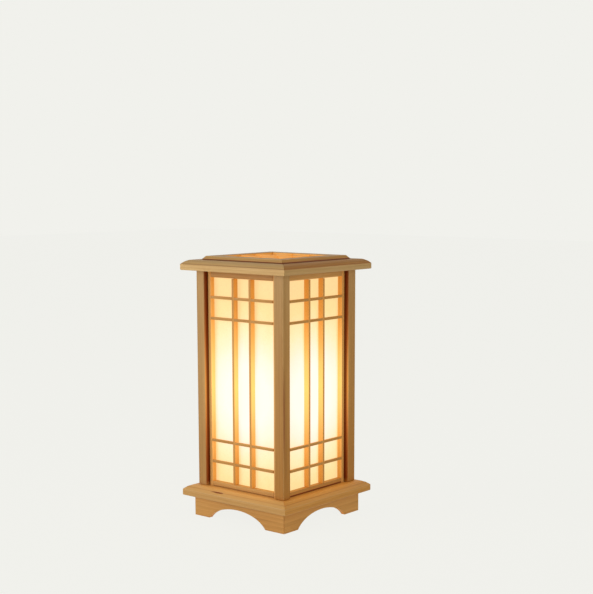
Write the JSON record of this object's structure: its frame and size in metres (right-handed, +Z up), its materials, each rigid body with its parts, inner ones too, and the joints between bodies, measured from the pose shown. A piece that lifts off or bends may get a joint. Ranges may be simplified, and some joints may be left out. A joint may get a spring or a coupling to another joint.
{
  "type": "lantern table lamp",
  "caption": "Square wooden lantern lamp with an arched base, corner posts, lattice panels over paper sheets, and a lift-off lid over a screw-in bulb.",
  "frame": {"origin": "on the surface the lamp stands on, under the middle of the lamp", "axes": "+Z up along the lamp's height, -Y towards the front panel, +X towards the panel on its right"},
  "size_m": [0.15, 0.15, 0.2891],
  "materials": {
    "oiled_pine": "oiled, satin",
    "paper_sheet": "translucent parchment, lit from behind",
    "plywood": "sanded",
    "black_rubber": "matt",
    "white_bakelite": "moulded, semi-gloss",
    "brass": "pressed",
    "plated_steel": "zinc plated",
    "opal_glass": "opal, satin",
    "bulb_aluminium": "rolled thread",
    "black_glass": "moulded insulator",
    "solder": "dull"
  },
  "bodies": {
    "lantern": {"base_moulding_front": "oiled_pine", "base_moulding_right": "oiled_pine", "base_moulding_back": "oiled_pine", "base_moulding_left": "oiled_pine", "apron_front": "oiled_pine", "apron_right": "oiled_pine", "apron_back": "oiled_pine", "apron_left": "oiled_pine", "floor_board": "plywood", "cable_grommet": "black_rubber", "corner_post_front_right": "oiled_pine", "corner_post_back_right": "oiled_pine", "corner_post_back_left": "oiled_pine", "corner_post_front_left": "oiled_pine", "front_left_stile": "oiled_pine", "front_right_stile": "oiled_pine", "front_bottom_rail": "oiled_pine", "front_top_rail": "oiled_pine", "front_lattice": "oiled_pine", "front_diffuser": "paper_sheet", "right_left_stile": "oiled_pine", "right_right_stile": "oiled_pine", "right_bottom_rail": "oiled_pine", "right_top_rail": "oiled_pine", "right_lattice": "oiled_pine", "right_diffuser": "paper_sheet", "back_left_stile": "oiled_pine", "back_right_stile": "oiled_pine", "back_bottom_rail": "oiled_pine", "back_top_rail": "oiled_pine", "back_lattice": "oiled_pine", "back_diffuser": "paper_sheet", "left_left_stile": "oiled_pine", "left_right_stile": "oiled_pine", "left_bottom_rail": "oiled_pine", "left_top_rail": "oiled_pine", "left_lattice": "oiled_pine", "left_diffuser": "paper_sheet", "holder_flange": "white_bakelite", "holder_body": "white_bakelite", "holder_shell": "brass", "holder_contact": "brass", "holder_screw_1": "plated_steel", "holder_screw_2": "plated_steel"},
    "lid": {"lid_moulding_front": "oiled_pine", "lid_moulding_right": "oiled_pine", "lid_moulding_back": "oiled_pine", "lid_moulding_left": "oiled_pine", "lid_rim_front": "oiled_pine", "lid_rim_right": "oiled_pine", "lid_rim_back": "oiled_pine", "lid_rim_left": "oiled_pine", "lid_lattice": "oiled_pine", "lid_diffuser": "paper_sheet"},
    "bulb_carriage": {"bulb_contact": "solder"},
    "bulb": {"bulb_glass": "opal_glass", "bulb_cap": "bulb_aluminium", "bulb_insulator": "black_glass"}
  },
  "joints": [
    {"name": "lid_lift", "type": "slide", "parent": "lantern", "child": "lid", "axis": [0, 0, 1], "range_m": [0, 0.1]},
    {"name": "bulb_rise", "type": "slide", "parent": "lantern", "child": "bulb_carriage", "axis": [0, 0, 1], "range_m": [0, 0.01811]},
    {"name": "bulb_turn", "type": "hinge", "parent": "bulb_carriage", "child": "bulb", "pos_m": [0, 0, 0.0866], "axis": [0, 0, 1], "range_deg": [0, 1800]}
  ],
  "couplings": [
    {"joint": "bulb_rise", "follows": "bulb_turn", "m_per_rad": 0.00057614}
  ]
}
